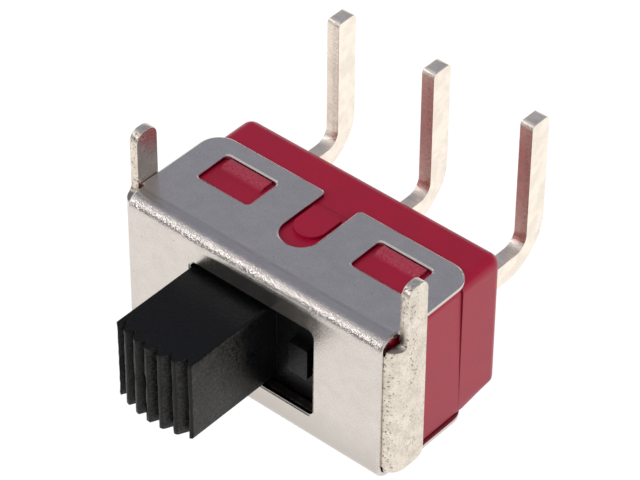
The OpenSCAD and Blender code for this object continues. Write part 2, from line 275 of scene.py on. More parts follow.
def sheet_depth(tree, here):
    """Depth below the outer skin of the folded sheet, in millimetres."""
    front, middle, half = sheet_section()
    place = add(tree, "SeparateXYZ", (here,)).node.outputs
    past_front = add(tree, "Math", (front + SHEET_BEND, place[1]), operation="SUBTRACT")
    from_middle = add(
        tree,
        "Math",
        (add(tree, "Math", (place[2], middle), operation="SUBTRACT"),),
        operation="ABSOLUTE",
    )
    past_face = add(tree, "Math", (from_middle, half - SHEET_BEND), operation="SUBTRACT")
    across = add(
        tree,
        "Math",
        (add(tree, "Math", (past_front, 0.0), operation="MAXIMUM"), 2.0),
        operation="POWER",
    )
    along = add(
        tree,
        "Math",
        (add(tree, "Math", (past_face, 0.0), operation="MAXIMUM"), 2.0),
        operation="POWER",
    )
    outside = add(
        tree, "Math", (add(tree, "Math", (across, along), operation="ADD"),), operation="SQRT"
    )
    inside = add(
        tree,
        "Math",
        (add(tree, "Math", (past_front, past_face), operation="MAXIMUM"), 0.0),
        operation="MINIMUM",
    )
    return add(
        tree,
        "Math",
        (SHEET_BEND, add(tree, "Math", (outside, inside), operation="ADD")),
        operation="SUBTRACT",
    )


def facing(tree):
    """The way the surface faces, along the switch's own axes."""
    return add(tree, "SeparateXYZ", (add(tree, "TexCoord", out="Normal"),)).node.outputs


def pressed_steel():
    """Cold-rolled stainless strip: an even matt grain, glittering bends and sheared edges."""
    tones = bpy.context.scene.switch_colours
    material, tree, shader = new_material("stainless_cold_rolled", Metallic=1.0)
    here = in_millimetres(tree)
    x, y, z = add(tree, "SeparateXYZ", (here,)).node.outputs
    faces = facing(tree)
    front, middle, half = sheet_section()
    # How far back the plate's inner face is, how far back the bends end, and how far above
    # and below the middle they start
    inner, bend_end, bend_start = front + SHEET, front + SHEET_BEND, half - SHEET_BEND
    # The rolled skin is drawn 0.07 mm across, coarser than it is, so that it shows
    grain = add(
        tree, "TexNoise", {"Vector": here, "Scale": 1 / 0.07, "Detail": 3.0, "Roughness": 0.6}
    )
    patches = add(
        tree, "TexNoise", {"Vector": here, "Scale": 1 / 0.6, "Detail": 3.0, "Roughness": 0.6}
    )
    tone = add(
        tree,
        "Math",
        (
            add(tree, "Math", (grain, 0.6), operation="MULTIPLY"),
            add(tree, "Math", (patches, 0.4), operation="MULTIPLY"),
        ),
        operation="ADD",
    )
    base = colour(tones.steel)
    skin = add(
        tree,
        "Mix",
        {0: add(tree, "MapRange", (tone, 0.36, 0.62)), 6: shade(base, 0.84), 7: base},
        out=2,
        data_type="RGBA",
    )
    # Painted shade: each flange is drawn darker along a narrow line where it leaves its bend, and
    # faintly over a wider band about it, standing for the shade of a slight hollow there
    crease_shade = add(
        tree,
        "Math",
        (
            add(tree, "MapRange", (y, bend_end + 0.3, bend_end + 0.2)),
            add(tree, "MapRange", (y, bend_end + 0.06, bend_end + 0.14)),
        ),
        operation="MULTIPLY",
    )
    hollow_shade = add(
        tree,
        "Math",
        (
            add(tree, "MapRange", (y, bend_end + 0.3, bend_end + 0.1)),
            add(tree, "MapRange", (y, bend_end - 0.22, bend_end - 0.1)),
        ),
        operation="MULTIPLY",
    )
    crease_shade = add(
        tree,
        "Math",
        (crease_shade, add(tree, "MapRange", (patches, 0.35, 0.6, 0.0, 0.4))),
        operation="MULTIPLY",
    )
    dull = add(
        tree,
        "Math",
        (crease_shade, add(tree, "Math", (hollow_shade, 0.3), operation="MULTIPLY")),
        operation="ADD",
    )
    skin = add(tree, "Mix", {0: dull, 6: skin, 7: shade(base, 0.6)}, out=2, data_type="RGBA")
    nicks = add(tree, "TexVoronoi", {"Vector": here, "Scale": 1 / 0.7}, out="Distance")
    skin = add(
        tree,
        "Mix",
        {0: add(tree, "MapRange", (nicks, 0.03, 0.07, 0.4, 0.0)), 6: skin, 7: shade(base, 0.3)},
        out=2,
        data_type="RGBA",
    )
    # Painted shade: the foot of the plate is drawn a little greyer, standing for the shadowed
    # table near the switch that it mirrors
    foot = add(
        tree,
        "Math",
        (
            add(tree, "MapRange", (z, 2.2, 0.4, 0.0, 0.85)),
            add(tree, "MapRange", (faces[1], -0.8, -0.95)),
        ),
        operation="MULTIPLY",
    )
    skin = add(tree, "Mix", {0: foot, 6: skin, 7: shade(base, 0.72)}, out=2, data_type="RGBA")
    # Painted shade: cut faces inside the openings are drawn dark, less dark where they face
    # forward, and near black inside the front plate; at the sheet's own ends they keep nearly the
    # steel's colour
    cut = add(tree, "MapRange", (sheet_depth(tree, here), 0.08, 0.1))
    clean = add(tree, "MapRange", (faces[1], -0.2, -0.7))
    opening_shade = add(
        tree, "Mix", {0: clean, 6: shade(base, 0.1), 7: shade(base, 0.7)}, out=2, data_type="RGBA"
    )
    opening_shade = add(
        tree,
        "Mix",
        {
            0: add(tree, "MapRange", (y, inner + 0.04, inner + 0.1)),
            6: shade(base, 0.03),
            7: opening_shade,
        },
        out=2,
        data_type="RGBA",
    )
    aside = add(tree, "Math", (x,), operation="ABSOLUTE")
    ends = add(tree, "MapRange", (aside, OPENINGS_END, OPENINGS_END + 0.2))
    wall = add(tree, "Mix", {0: ends, 6: opening_shade, 7: shade(base, 0.88)}, out=2, data_type="RGBA")
    tree.links.new(
        add(tree, "Mix", {0: cut, 6: skin, 7: wall}, out=2, data_type="RGBA"),
        shader.inputs["Base Color"],
    )
    # Stretching the sheet over the bends opens its grain, which glitters. It is drawn as
    # coarse as the skin's
    bend = add(
        tree,
        "MapRange",
        (
            add(
                tree,
                "Math",
                (add(tree, "Math", (faces[1], faces[2]), operation="MULTIPLY"),),
                operation="ABSOLUTE",
            ),
            0.25,
            0.42,
        ),
    )
    far = add(
        tree, "Math", (add(tree, "Math", (z, middle), operation="SUBTRACT"),), operation="ABSOLUTE"
    )
    bend = add(
        tree,
        "Math",
        (bend, add(tree, "MapRange", (far, bend_start - 0.03, bend_start + 0.07))),
        operation="MULTIPLY",
    )
    bend = add(
        tree,
        "Math",
        (bend, add(tree, "MapRange", (y, bend_end, bend_end - 0.1))),
        operation="MULTIPLY",
    )
    rough = add(
        tree,
        "Math",
        (
            add(tree, "MapRange", (patches, 0.3, 0.7, 0.19, 0.27)),
            add(tree, "Math", (bend, 0.07), operation="MULTIPLY"),
        ),
        operation="SUBTRACT",
    )
    tree.links.new(rough, shader.inputs["Roughness"])
    fine = add(tree, "Bump", {"Height": grain, "Distance": 0.004 * MM})
    glitter = add(
        tree,
        "Math",
        (
            add(
                tree,
                "TexNoise",
                {"Vector": here, "Scale": 1 / 0.065, "Detail": 1.0, "Roughness": 0.5},
            ),
            bend,
        ),
        operation="MULTIPLY",
    )
    tree.links.new(
        add(tree, "Bump", {"Height": glitter, "Distance": 0.019 * MM, "Normal": fine}),
        shader.inputs["Normal"],
    )
    return material


def tinned_brass():
    """Tin barrel-plated on brass strip: creamy, satin, with fine grain and small pits."""
    tones = bpy.context.scene.switch_colours
    material, tree, shader = new_material("tin_plated_brass", Metallic=1.0)
    here = in_millimetres(tree)
    x, y, z = add(tree, "SeparateXYZ", (here,)).node.outputs
    mottle = add(
        tree, "TexNoise", {"Vector": here, "Scale": 1 / 0.5, "Detail": 3.0, "Roughness": 0.6}
    )
    # The plating's grain is drawn 0.09 mm across, coarser than it is, so that it shows
    grain = add(
        tree, "TexNoise", {"Vector": here, "Scale": 1 / 0.09, "Detail": 3.0, "Roughness": 0.6}
    )
    pits = add(
        tree, "TexNoise", {"Vector": here, "Scale": 1 / 0.11, "Detail": 3.0, "Roughness": 0.6}
    )
    # Forming the bend opens pits along it; a few more are scattered over the rest
    bend = add(
        tree,
        "Math",
        (add(tree, "MapRange", (y, -0.7, -0.4)), add(tree, "MapRange", (y, 0.15, -0.1))),
        operation="MULTIPLY",
    )
    patch = add(
        tree,
        "MapRange",
        (
            add(
                tree,
                "TexNoise",
                {"Vector": here, "Scale": 1 / 0.9, "Detail": 2.0, "Roughness": 0.5},
            ),
            0.4,
            0.55,
        ),
    )
    # The sheared edges of the pins are speckled where the plating is thin
    faces = facing(tree)
    edge = add(tree, "MapRange", (faces[1], -0.6, -0.9))
    often = add(
        tree,
        "Math",
        (add(tree, "Math", (bend, patch), operation="MULTIPLY"), edge),
        operation="MAXIMUM",
    )
    level = add(
        tree,
        "Math",
        (pits, add(tree, "Math", (often, 0.075), operation="MULTIPLY")),
        operation="ADD",
    )
    speck = add(tree, "MapRange", (level, 0.66, 0.72))
    base = colour(tones.tin)
    tone = add(
        tree,
        "Math",
        (
            add(tree, "Math", (mottle, 0.5), operation="MULTIPLY"),
            add(tree, "Math", (grain, 0.5), operation="MULTIPLY"),
        ),
        operation="ADD",
    )
    skin = add(
        tree,
        "Mix",
        {0: add(tree, "MapRange", (tone, 0.38, 0.6)), 6: shade(base, 0.74), 7: base},
        out=2,
        data_type="RGBA",
    )
    # Painted shade: the bracket's faces nearer the middle, where its windows' cut edges lie deep
    # behind the plate, are drawn near black
    aside = add(tree, "Math", (x,), operation="ABSOLUTE")
    inside = add(tree, "MapRange", (aside, OPENINGS_END, OPENINGS_END - 0.2))
    skin = add(tree, "Mix", {0: inside, 6: skin, 7: shade(base, 0.03)}, out=2, data_type="RGBA")
    # The punched notch below each pin keeps its dark torn face
    notch = add(
        tree,
        "Math",
        (add(tree, "MapRange", (faces[2], 0.2, 0.5)), add(tree, "MapRange", (z, 6.6, 6.4))),
        operation="MULTIPLY",
    )
    skin = add(tree, "Mix", {0: notch, 6: skin, 7: shade(base, 0.4)}, out=2, data_type="RGBA")
    tree.links.new(
        add(tree, "Mix", {0: speck, 6: skin, 7: shade(base, 0.34)}, out=2, data_type="RGBA"),
        shader.inputs["Base Color"],
    )
    tree.links.new(
        add(tree, "MapRange", (mottle, 0.3, 0.7, 0.38, 0.28)), shader.inputs["Roughness"]
    )
    sheet_skin = add(tree, "Bump", {"Height": grain, "Distance": 0.006 * MM})
    tree.links.new(
        add(tree, "Bump", {"Height": speck, "Distance": -0.02 * MM, "Normal": sheet_skin}),
        shader.inputs["Normal"],
    )
    return material


def silvered_brass():
    """Silver-plated brass, blanked from sheet: smooth faces, half-torn sheared edges."""
    tones = bpy.context.scene.switch_colours
    material, tree, shader = new_material("silver_plated_brass", Metallic=1.0)
    here = in_millimetres(tree)
    mottle = add(
        tree, "TexNoise", {"Vector": here, "Scale": 1 / 0.6, "Detail": 2.0, "Roughness": 0.5}
    )
    # Scores run the way the punch went, across the sheet's thickness
    score = add(
        tree,
        "TexNoise",
        {
            "Vector": in_millimetres(tree, (7, 1, 1)),
            "Scale": 1 / 0.05,
            "Detail": 2.0,
            "Roughness": 0.6,
        },
    )
    ticks = add(
        tree, "TexNoise", {"Vector": here, "Scale": 1 / 0.12, "Detail": 3.0, "Roughness": 0.6}
    )
    faces = facing(tree)
    aside = add(tree, "Math", (faces[0],), operation="ABSOLUTE")
    sheared = add(tree, "MapRange", (aside, 0.3, 0.6, 1.0, 0.0))
    # The punch first cuts, which leaves a bright band, and then tears the rest of the edge
    shifted = add(
        tree,
        "Math",
        (add(tree, "SeparateXYZ", (here,)).node.outputs[0], TERMINAL_PITCH / 2),
        operation="ADD",
    )
    across = add(
        tree,
        "Math",
        (
            add(tree, "Math", (shifted, TERMINAL_PITCH), operation="FLOORED_MODULO"),
            TERMINAL_PITCH / 2,
        ),
        operation="SUBTRACT",
    )
    ragged = add(
        tree,
        "Math",
        (across, add(tree, "MapRange", (ticks, 0.3, 0.7, -0.06, 0.06))),
        operation="ADD",
    )
    torn = add(
        tree,
        "Math",
        (
            add(tree, "MapRange", (ragged, -0.04, 0.02)),
            add(tree, "MapRange", (faces[1], -0.6, -0.9)),
        ),
        operation="MULTIPLY",
    )
    # The rounded edge between the front and the right-hand side is drawn dark
    corner = add(
        tree,
        "Math",
        (
            add(tree, "MapRange", (faces[0], 0.3, 0.45)),
            add(tree, "MapRange", (faces[1], -0.3, -0.45)),
        ),
        operation="MULTIPLY",
    )
    base = colour(tones.terminal)
    skin = add(
        tree,
        "Mix",
        {0: add(tree, "MapRange", (mottle, 0.38, 0.6)), 6: shade(base, 0.9), 7: base},
        out=2,
        data_type="RGBA",
    )
    streak = add(
        tree,
        "Math",
        (sheared, add(tree, "MapRange", (score, 0.42, 0.6, 0.25, 0.0))),
        operation="MULTIPLY",
    )
    skin = add(tree, "Mix", {0: streak, 6: skin, 7: shade(base, 0.5)}, out=2, data_type="RGBA")
    rough_tone = add(
        tree,
        "Mix",
        {
            0: add(tree, "MapRange", (ticks, 0.35, 0.65)),
            6: shade(base, 0.68),
            7: shade(base, 0.95),
        },
        out=2,
        data_type="RGBA",
    )
    skin = add(tree, "Mix", {0: torn, 6: skin, 7: rough_tone}, out=2, data_type="RGBA")
    skin = add(
        tree,
        "Mix",
        {0: add(tree, "Math", (corner, 0.7), operation="MULTIPLY"), 6: skin, 7: shade(base, 0.25)},
        out=2,
        data_type="RGBA",
    )
    tree.links.new(skin, shader.inputs["Base Color"])
    # The front and the upper faces, where the plating is thin and torn, are duller
    matt = add(
        tree,
        "Math",
        (
            add(
                tree,
                "Math",
                (
                    add(tree, "MapRange", (faces[1], -0.6, -0.9)),
                    add(tree, "MapRange", (faces[2], 0.6, 0.9)),
                ),
                operation="MAXIMUM",
            ),
            0.2,
        ),
        operation="MULTIPLY",
    )
    rough = add(
        tree, "Math", (add(tree, "MapRange", (mottle, 0.3, 0.7, 0.28, 0.2)), matt), operation="ADD"
    )
    tree.links.new(rough, shader.inputs["Roughness"])
    face = add(tree, "Bump", {"Height": ticks, "Distance": 0.005 * MM})
    tree.links.new(
        add(
            tree,
            "Bump",
            {
                "Height": add(tree, "Math", (score, sheared), operation="MULTIPLY"),
                "Distance": 0.008 * MM,
                "Normal": face,
            },
        ),
        shader.inputs["Normal"],
    )
    return material


def red_thermoset():
    """Diallyl phthalate, compression moulded: opaque deep red with a faint filler grain."""
    tones = bpy.context.scene.switch_colours
    gloss = {"IOR": 1.5, "Specular IOR Level": 0.44}
    material, tree, shader = new_material("dap_moulded", **gloss)
    here = in_millimetres(tree)
    grain = add(
        tree, "TexNoise", {"Vector": here, "Scale": 1 / 0.08, "Detail": 3.0, "Roughness": 0.6}
    )
    cloud = add(
        tree, "TexNoise", {"Vector": here, "Scale": 1 / 1.3, "Detail": 2.0, "Roughness": 0.5}
    )
    base = colour(tones.case)
    tone = add(
        tree,
        "Math",
        (
            add(tree, "Math", (grain, 0.4), operation="MULTIPLY"),
            add(tree, "Math", (cloud, 0.6), operation="MULTIPLY"),
        ),
        operation="ADD",
    )
    body = add(
        tree,
        "Mix",
        {0: add(tree, "MapRange", (tone, 0.35, 0.62)), 6: shade(base, 0.9), 7: base},
        out=2,
        data_type="RGBA",
    )
    # Painted sheen: the tops of the snap wedges are drawn a grainy pale pink, where their slopes
    # catch the light
    across, along, up = add(tree, "SeparateXYZ", (here,)).node.outputs
    middle, half = sheet_section()[1:]
    height = add(
        tree,
        "Math",
        (add(tree, "Math", (up, middle), operation="SUBTRACT"),),
        operation="ABSOLUTE",
    )
    ramp = add(
        tree,
        "Math",
        (
            add(tree, "MapRange", (height, half - 0.16, half - 0.1)),
            add(tree, "MapRange", (add(tree, "Math", (across,), operation="ABSOLUTE"), 1.0, 1.1)),
        ),
        operation="MULTIPLY",
    )
    wedge_sheen = add(
        tree,
        "Math",
        (ramp, add(tree, "MapRange", (grain, 0.3, 0.7, 0.0, 0.24))),
        operation="MULTIPLY",
    )
    # Painted shade: the step where the mould parts is drawn as a dark line, for the shadow it
    # holds
    line = add(
        tree,
        "Math",
        (add(tree, "Math", (along, MOULD_LINE), operation="SUBTRACT"),),
        operation="ABSOLUTE",
    )
    body = add(
        tree,
        "Mix",
        {0: add(tree, "MapRange", (line, 0.02, 0.05, 0.5, 0.0)), 6: body, 7: shade(base, 0.3)},
        out=2,
        data_type="RGBA",
    )
    sheen_pink = colour("c98a96")
    tree.links.new(
        add(tree, "Mix", {0: wedge_sheen, 6: body, 7: sheen_pink}, out=2, data_type="RGBA"),
        shader.inputs["Base Color"],
    )
    tree.links.new(add(tree, "MapRange", (grain, 0.3, 0.7, 0.3, 0.42)), shader.inputs["Roughness"])
    tree.links.new(
        add(tree, "Bump", {"Height": grain, "Distance": 0.004 * MM}), shader.inputs["Normal"]
    )
    return material


def black_nylon():
    """Black glass-filled nylon, moulded: a dull sheen over a slightly uneven skin."""
    tones = bpy.context.scene.switch_colours
    gloss = {"IOR": 1.5, "Specular IOR Level": 0.2}
    material, tree, shader = new_material("nylon_moulded", **gloss)
    here = in_millimetres(tree)
    grain = add(
        tree, "TexNoise", {"Vector": here, "Scale": 1 / 0.12, "Detail": 4.0, "Roughness": 0.65}
    )
    wipe = add(
        tree, "TexNoise", {"Vector": here, "Scale": 1 / 1.0, "Detail": 3.0, "Roughness": 0.6}
    )
    base = colour(tones.nylon)
    body = add(
        tree,
        "Mix",
        {0: add(tree, "MapRange", (grain, 0.5, 0.72)), 6: base, 7: shade(base, 2.6)},
        out=2,
        data_type="RGBA",
    )
    # The sides of the knob are greyed towards the front: partly wear where fingers and packing rub
    # them, partly a painted reflection of the bright table that they mirror there
    worn = colour("393631")
    wear_and_reflection = add(
        tree,
        "Math",
        (
            add(
                tree,
                "MapRange",
                (add(tree, "Math", (facing(tree)[0],), operation="ABSOLUTE"), 0.6, 0.9),
            ),
            add(tree, "MapRange", (add(tree, "SeparateXYZ", (here,)).node.outputs[1], -2.2, -3.4)),
        ),
        operation="MULTIPLY",
    )
    wear_and_reflection = add(
        tree,
        "Math",
        (wear_and_reflection, add(tree, "MapRange", (grain, 0.4, 0.62, 0.0, 0.8))),
        operation="MULTIPLY",
    )
    tree.links.new(
        add(tree, "Mix", {0: wear_and_reflection, 6: body, 7: worn}, out=2, data_type="RGBA"),
        shader.inputs["Base Color"],
    )
    dull = add(
        tree,
        "Math",
        (
            add(tree, "Math", (grain, 0.5), operation="MULTIPLY"),
            add(tree, "Math", (wipe, 0.5), operation="MULTIPLY"),
        ),
        operation="ADD",
    )
    tree.links.new(
        add(tree, "MapRange", (dull, 0.35, 0.65, 0.24, 0.5)), shader.inputs["Roughness"]
    )
    tree.links.new(
        add(tree, "Bump", {"Height": grain, "Distance": 0.012 * MM}), shader.inputs["Normal"]
    )
    return material


def sealing_epoxy():
    """Tinted epoxy poured round the terminals: glossy, with a slow ripple where it set."""
    tones = bpy.context.scene.switch_colours
    material, tree, shader = new_material("epoxy_poured", IOR=1.55)
    here = in_millimetres(tree)
    ripple = add(
        tree, "TexNoise", {"Vector": here, "Scale": 1 / 1.1, "Detail": 1.0, "Roughness": 0.5}
    )
    dust = add(
        tree, "TexNoise", {"Vector": here, "Scale": 1 / 0.12, "Detail": 2.0, "Roughness": 0.5}
    )
    base = colour(tones.resin)
    light = shade(base, 1.15)
    tree.links.new(
        add(
            tree,
            "Mix",
            {0: add(tree, "MapRange", (dust, 0.4, 0.7)), 6: base, 7: light},
            out=2,
            data_type="RGBA",
        ),
        shader.inputs["Base Color"],
    )
    tree.links.new(add(tree, "MapRange", (dust, 0.3, 0.7, 0.14, 0.26)), shader.inputs["Roughness"])
    tree.links.new(
        add(tree, "Bump", {"Height": ripple, "Distance": 0.05 * MM}), shader.inputs["Normal"]
    )
    return material


def drawn_metal(name, tone, rough):
    """Small working metal pieces: drawn, turned or coined, clean, with the tools' fine marks."""
    material, tree, shader = new_material(name, Metallic=1.0)
    here = in_millimetres(tree)
    # The marks are drawn 0.08 mm across, coarser than they are, so that they show
    marks = add(
        tree, "TexNoise", {"Vector": here, "Scale": 1 / 0.08, "Detail": 3.0, "Roughness": 0.6}
    )
    base = colour(tone)
    dark = shade(base, 0.8)
    tree.links.new(
        add(
            tree,
            "Mix",
            {0: add(tree, "MapRange", (marks, 0.35, 0.6)), 6: dark, 7: base},
            out=2,
            data_type="RGBA",
        ),
        shader.inputs["Base Color"],
    )
    tree.links.new(
        add(tree, "MapRange", (marks, 0.3, 0.7, rough, rough + 0.1)), shader.inputs["Roughness"]
    )
    tree.links.new(
        add(tree, "Bump", {"Height": marks, "Distance": 0.003 * MM}), shader.inputs["Normal"]
    )
    return material


# ---- Shape helpers ----


def whole_mesh(node):
    """A CAD node's mesh in millimetres, joined up, with each flat face in one."""
    mesh = bmesh.new()
    mesh.from_mesh(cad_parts[node].data)
    bmesh.ops.scale(mesh, vec=Vector((1, 1, 1)) / MM, verts=mesh.verts)
    bmesh.ops.remove_doubles(mesh, verts=mesh.verts, dist=SAME_PLACE)
    bmesh.ops.dissolve_limit(mesh, angle_limit=FLAT, verts=mesh.verts, edges=mesh.edges)
    return mesh


def round_edges(mesh, radius, chosen=lambda middle: True):
    """Rounds the real edges whose middle is chosen."""
    edges = [
        e
        for e in mesh.edges
        if len(e.link_faces) == 2
        and e.calc_face_angle() > REAL_EDGE
        and chosen((e.verts[0].co + e.verts[1].co) / 2)
    ]
    bmesh.ops.bevel(
        mesh,
        geom=edges,
        offset=radius,
        segments=2,
        profile=0.5,
        affect="EDGES",
        clamp_overlap=False,
        miter_outer="SHARP",
        miter_inner="SHARP",
    )


def on_skin(face):
    """Whether a face of the folded frame is on its outside."""
    front, middle, half = sheet_section()
    place, way = face.calc_center_median(), face.normal
    up = math.copysign(1, place.z - middle)
    # How far a face may be from its plane, a bend's facet may be from its arc, and a square
    # face may lean
    off_plane, off_arc, lean = 0.01, 0.05, 0.001
    # What faces sideways is an end or a wall of an opening
    if abs(way.x) > 0.5:
        return False
    if way.z * up > 1 - lean:
        return abs(place.z - middle) > half - off_plane
    if way.y < lean - 1:
        return place.y < front + off_plane
    # Only a bend's outside faces forwards and up, or forwards and down at the foot
    if way.y > -lean or way.z * up < lean:
        return False
    axis = Vector((front + SHEET_BEND, middle + up * (half - SHEET_BEND)))
    return (Vector((place.y, place.z)) - axis).length > SHEET_BEND - off_arc


def roll_rims(mesh, is_skin, width, drop):
    """Rolls the skin's rim down a little, as a punch drags the sheet before it cuts."""
    mesh.normal_update()
    skin = [face for face in mesh.faces if is_skin(face)]
    rolled = bmesh.ops.inset_region(
        mesh, faces=skin, thickness=width, use_boundary=True, use_even_offset=True
    )["faces"]
    mesh.normal_update()
    kept = {vert for face in skin for vert in face.verts}
    lean = {}
    for face in rolled:
        for vert in face.verts:
            if vert not in kept:
                lean[vert] = lean.get(vert, Vector()) + face.normal
    for vert, way in lean.items():
        vert.co -= way.normalized() * drop


def cut_across(mesh, faces, place, way):
    """Cuts these faces where a plane crosses them."""
    parts = dict.fromkeys(faces)
    for face in faces:
        parts.update(dict.fromkeys((*face.edges, *face.verts)))
    bmesh.ops.bisect_plane(mesh, geom=list(parts), dist=CUT_SNAP, plane_co=place, plane_no=way)


def ball_corner(mesh, centre, signs, radius, share):
    """Rounds one corner into a ball about this centre, or a share of the way there."""

    def beyond(vert):
        return min((vert.co - centre) * signs)

    # The flat strips of the rounded edges are cut up first, so that they can bend
    for axis in range(3):
        for step in range(CORNER_CUTS):
            near = [f for f in mesh.faces if max(map(beyond, f.verts)) > SAME_PLACE]
            place, way = centre.copy(), Vector((0, 0, 0))
            place[axis] += signs[axis] * radius * step / CORNER_CUTS
            way[axis] = 1
            cut_across(mesh, near, place, way)
    for vert in mesh.verts:
        if beyond(vert) > SAME_PLACE:
            out = (vert.co - centre).normalized()
            vert.co += (centre + out * radius - vert.co) * share


def ball_corners(mesh, radius, half, back, low, high):
    """Rounds the case's back corners, fully on top and less underneath."""
    for side in (-1, 1):
        for edge, up, share in ((high, 1, 1.0), (low, -1, LOW_CORNER_SHARE)):
            centre = Vector((side * (half - radius), back - radius, edge - up * radius))
            ball_corner(mesh, centre, Vector((side, 1, up)), radius, share)


def square_low_edges(mesh, radius, left, half, low, until):
    """Draws the case's lower edges out to a smaller radius, less and less towards the back."""
    # How far a point of the round may be off it, and the length over which the change fades
    on_round, fading = 0.12, 0.5
    flat = radius - left
    for vert in mesh.verts:
        side = math.copysign(1, vert.co.x)
        across, down = abs(vert.co.x) - (half - radius), low + radius - vert.co.z
        out = math.hypot(across, down)
        if across <= 0 or down <= 0 or vert.co.y > until or abs(out - radius) > on_round:
            continue
        # The same way out from the middle, as far as a square with rounded corners goes
        long, short = max(across, down), min(across, down)
        reach = radius / long
        if short * reach > flat:
            way = Vector((across, down)).normalized()
            core = Vector((flat, flat))
            along = way.dot(core)
            reach = (along + math.sqrt(along**2 - core.length_squared + left**2)) / out
        fade = min(1.0, (until - vert.co.y) / fading)
        scale = 1 + (reach - 1) * fade
        vert.co.x = side * (half - radius + across * scale)
        vert.co.z = low + radius - down * scale


def round_tip(mesh, radius):
    """Rounds the back of a terminal's tip further down."""
    top, back = max(v.co.z for v in mesh.verts), max(v.co.y for v in mesh.verts)
    for step in range(TIP_CUTS):
        place = Vector((0, back - radius * (1 - step / TIP_CUTS), 0))
        cut_across(mesh, mesh.faces, place, (0, 1, 0))
    for vert in mesh.verts:
        past = vert.co.y - (back - radius)
        if past > 0 and vert.co.z > top - radius:
            limit = top - radius + math.sqrt(max(radius**2 - past**2, 0.0))
            vert.co.z = min(vert.co.z, limit)
    bmesh.ops.remove_doubles(mesh, verts=mesh.verts, dist=SAME_PLACE)


def fray_ribs(mesh):
    """Frays the crests of the ribs a little, inwards, where the mould has worn."""
    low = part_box("slider")[0] / MM
    root = low.y + RIBBED_DEPTH
    for step in range(1, RIB_CUTS + 1):
        near = [f for f in mesh.faces if min(v.co.y for v in f.verts) < root]
        cut_across(mesh, near, Vector((0, 0, RIB_FOOT + step * RIB_LENGTH)), (0, 0, 1))

    def runs_up(edge):
        """Whether it is a sharp edge along a crest, and not one across it."""
        rise = abs(edge.verts[0].co.z - edge.verts[1].co.z)
        return edge.calc_face_angle(0) > REAL_EDGE and edge.is_convex and rise > 0.1

    crests = [v for v in mesh.verts if v.co.y < root and any(map(runs_up, v.link_edges))]
    chance = random.Random(FRAY_SEED)
    for vert in sorted(crests, key=lambda v: tuple(v.co)):
        vert.co.y += chance.uniform(0.0, FRAY)


def make_piece(name, mesh, material, node):
    """Turns the mesh into a piece that stands for its CAD node and stays inside its box."""
    low, high = (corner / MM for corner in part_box(node))
    for vert in mesh.verts:
        vert.co = [min(max(c, a), b) for c, a, b in zip(vert.co, low, high)]
    bmesh.ops.scale(mesh, vec=Vector((MM, MM, MM)), verts=mesh.verts)
    bmesh.ops.recalc_face_normals(mesh, faces=mesh.faces)
    for face in mesh.faces:
        face.smooth = True
    for edge in mesh.edges:
        edge.smooth = len(edge.link_faces) != 2 or edge.calc_face_angle() < REAL_EDGE
    data = bpy.data.meshes.new(name)
    mesh.to_mesh(data)
    mesh.free()
    data.materials.append(material)
    piece = bpy.data.objects.new(name, data)
    bpy.context.scene.collection.objects.link(piece)
    even = piece.modifiers.new("Even shading", "WEIGHTED_NORMAL")
    even.keep_sharp = True
    # Large faces count for more, so that they stay flat beside their rounded edges
    even.weight = 80
    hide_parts(node)
    return piece


def refinish(node, material):
    """Gives a CAD node that keeps its shape a better material."""
    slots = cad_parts[node].data.materials
    slots.clear()
    slots.append(material)


# ---- Operators ----


class SWITCH_OT_frame(bpy.types.Operator):
    """Make the pressed steel frame"""

    bl_idname = "switch.frame"
    bl_label = "Pressed Frame"

    def execute(self, context):
        edges = context.scene.switch_edges
        mesh = whole_mesh("frame")
        roll_rims(mesh, on_skin, edges.roll, edges.roll_drop)
        round_edges(mesh, edges.pressed)
        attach(make_piece("pressed_frame", mesh, pressed_steel(), "frame"), "housing")
        return {"FINISHED"}


class SWITCH_OT_bracket(bpy.types.Operator):
    """Make the tinned bracket with its two board pins"""

    bl_idname = "switch.bracket"
    bl_label = "Tinned Bracket"

    def execute(self, context):
        mesh = whole_mesh("bracket")
        round_edges(mesh, context.scene.switch_edges.plated)
        piece = make_piece("board_bracket", mesh, tinned_brass(), "bracket")
        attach(piece, "housing")
        return {"FINISHED"}


class SWITCH_OT_case(bpy.types.Operator):
    """Make the moulded case and the resin that seals it"""

    bl_idname = "switch.case"
    bl_label = "Moulded Case"

    def execute(self, context):
        radius = context.scene.switch_edges.moulded
        mesh = whole_mesh("case")
        high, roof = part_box("case")[1] / MM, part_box("frame")[1].z / MM - SHEET
        ball_corners(mesh, CASE_EDGE, high.x, high.y, SHEET, roof)
        square_low_edges(mesh, CASE_EDGE, LOW_EDGE, high.x, SHEET, high.y - CASE_EDGE)
        # The line where the two halves of the mould meet stays crisp, and so does 0.1 mm
        # on each side of it
        round_edges(mesh, radius, lambda middle: abs(middle.y - MOULD_LINE) > 0.1)
        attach(make_piece("moulded_case", mesh, red_thermoset(), "case"), "housing")
        seal = whole_mesh("terminal_seal")
        round_edges(seal, radius)
        epoxy = sealing_epoxy()
        piece = make_piece("poured_seal", seal, epoxy, "terminal_seal")
        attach(piece, "housing")
        return {"FINISHED"}


class SWITCH_OT_slider(bpy.types.Operator):
    """Make the ribbed slider"""

    bl_idname = "switch.slider"
    bl_label = "Ribbed Slider"

    def execute(self, context):
        mesh = whole_mesh("slider")
        fray_ribs(mesh)
        round_edges(mesh, SLIDER_EDGE)
        piece = make_piece("ribbed_slider", mesh, black_nylon(), "slider")
        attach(piece, "slider")
        return {"FINISHED"}


class SWITCH_OT_terminals(bpy.types.Operator):
    """Make the three plated terminals"""

    bl_idname = "switch.terminals"
    bl_label = "Terminals"

    def execute(self, context):
        material = silvered_brass()
        for side in ("left", "centre", "right"):
            node = side + "_terminal"
            mesh = whole_mesh(node)
            round_tip(mesh, TERMINAL_TIP)
            round_edges(mesh, context.scene.switch_edges.legs)
            piece = make_piece(side + "_leg", mesh, material, node)
            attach(piece, "housing")
        return {"FINISHED"}


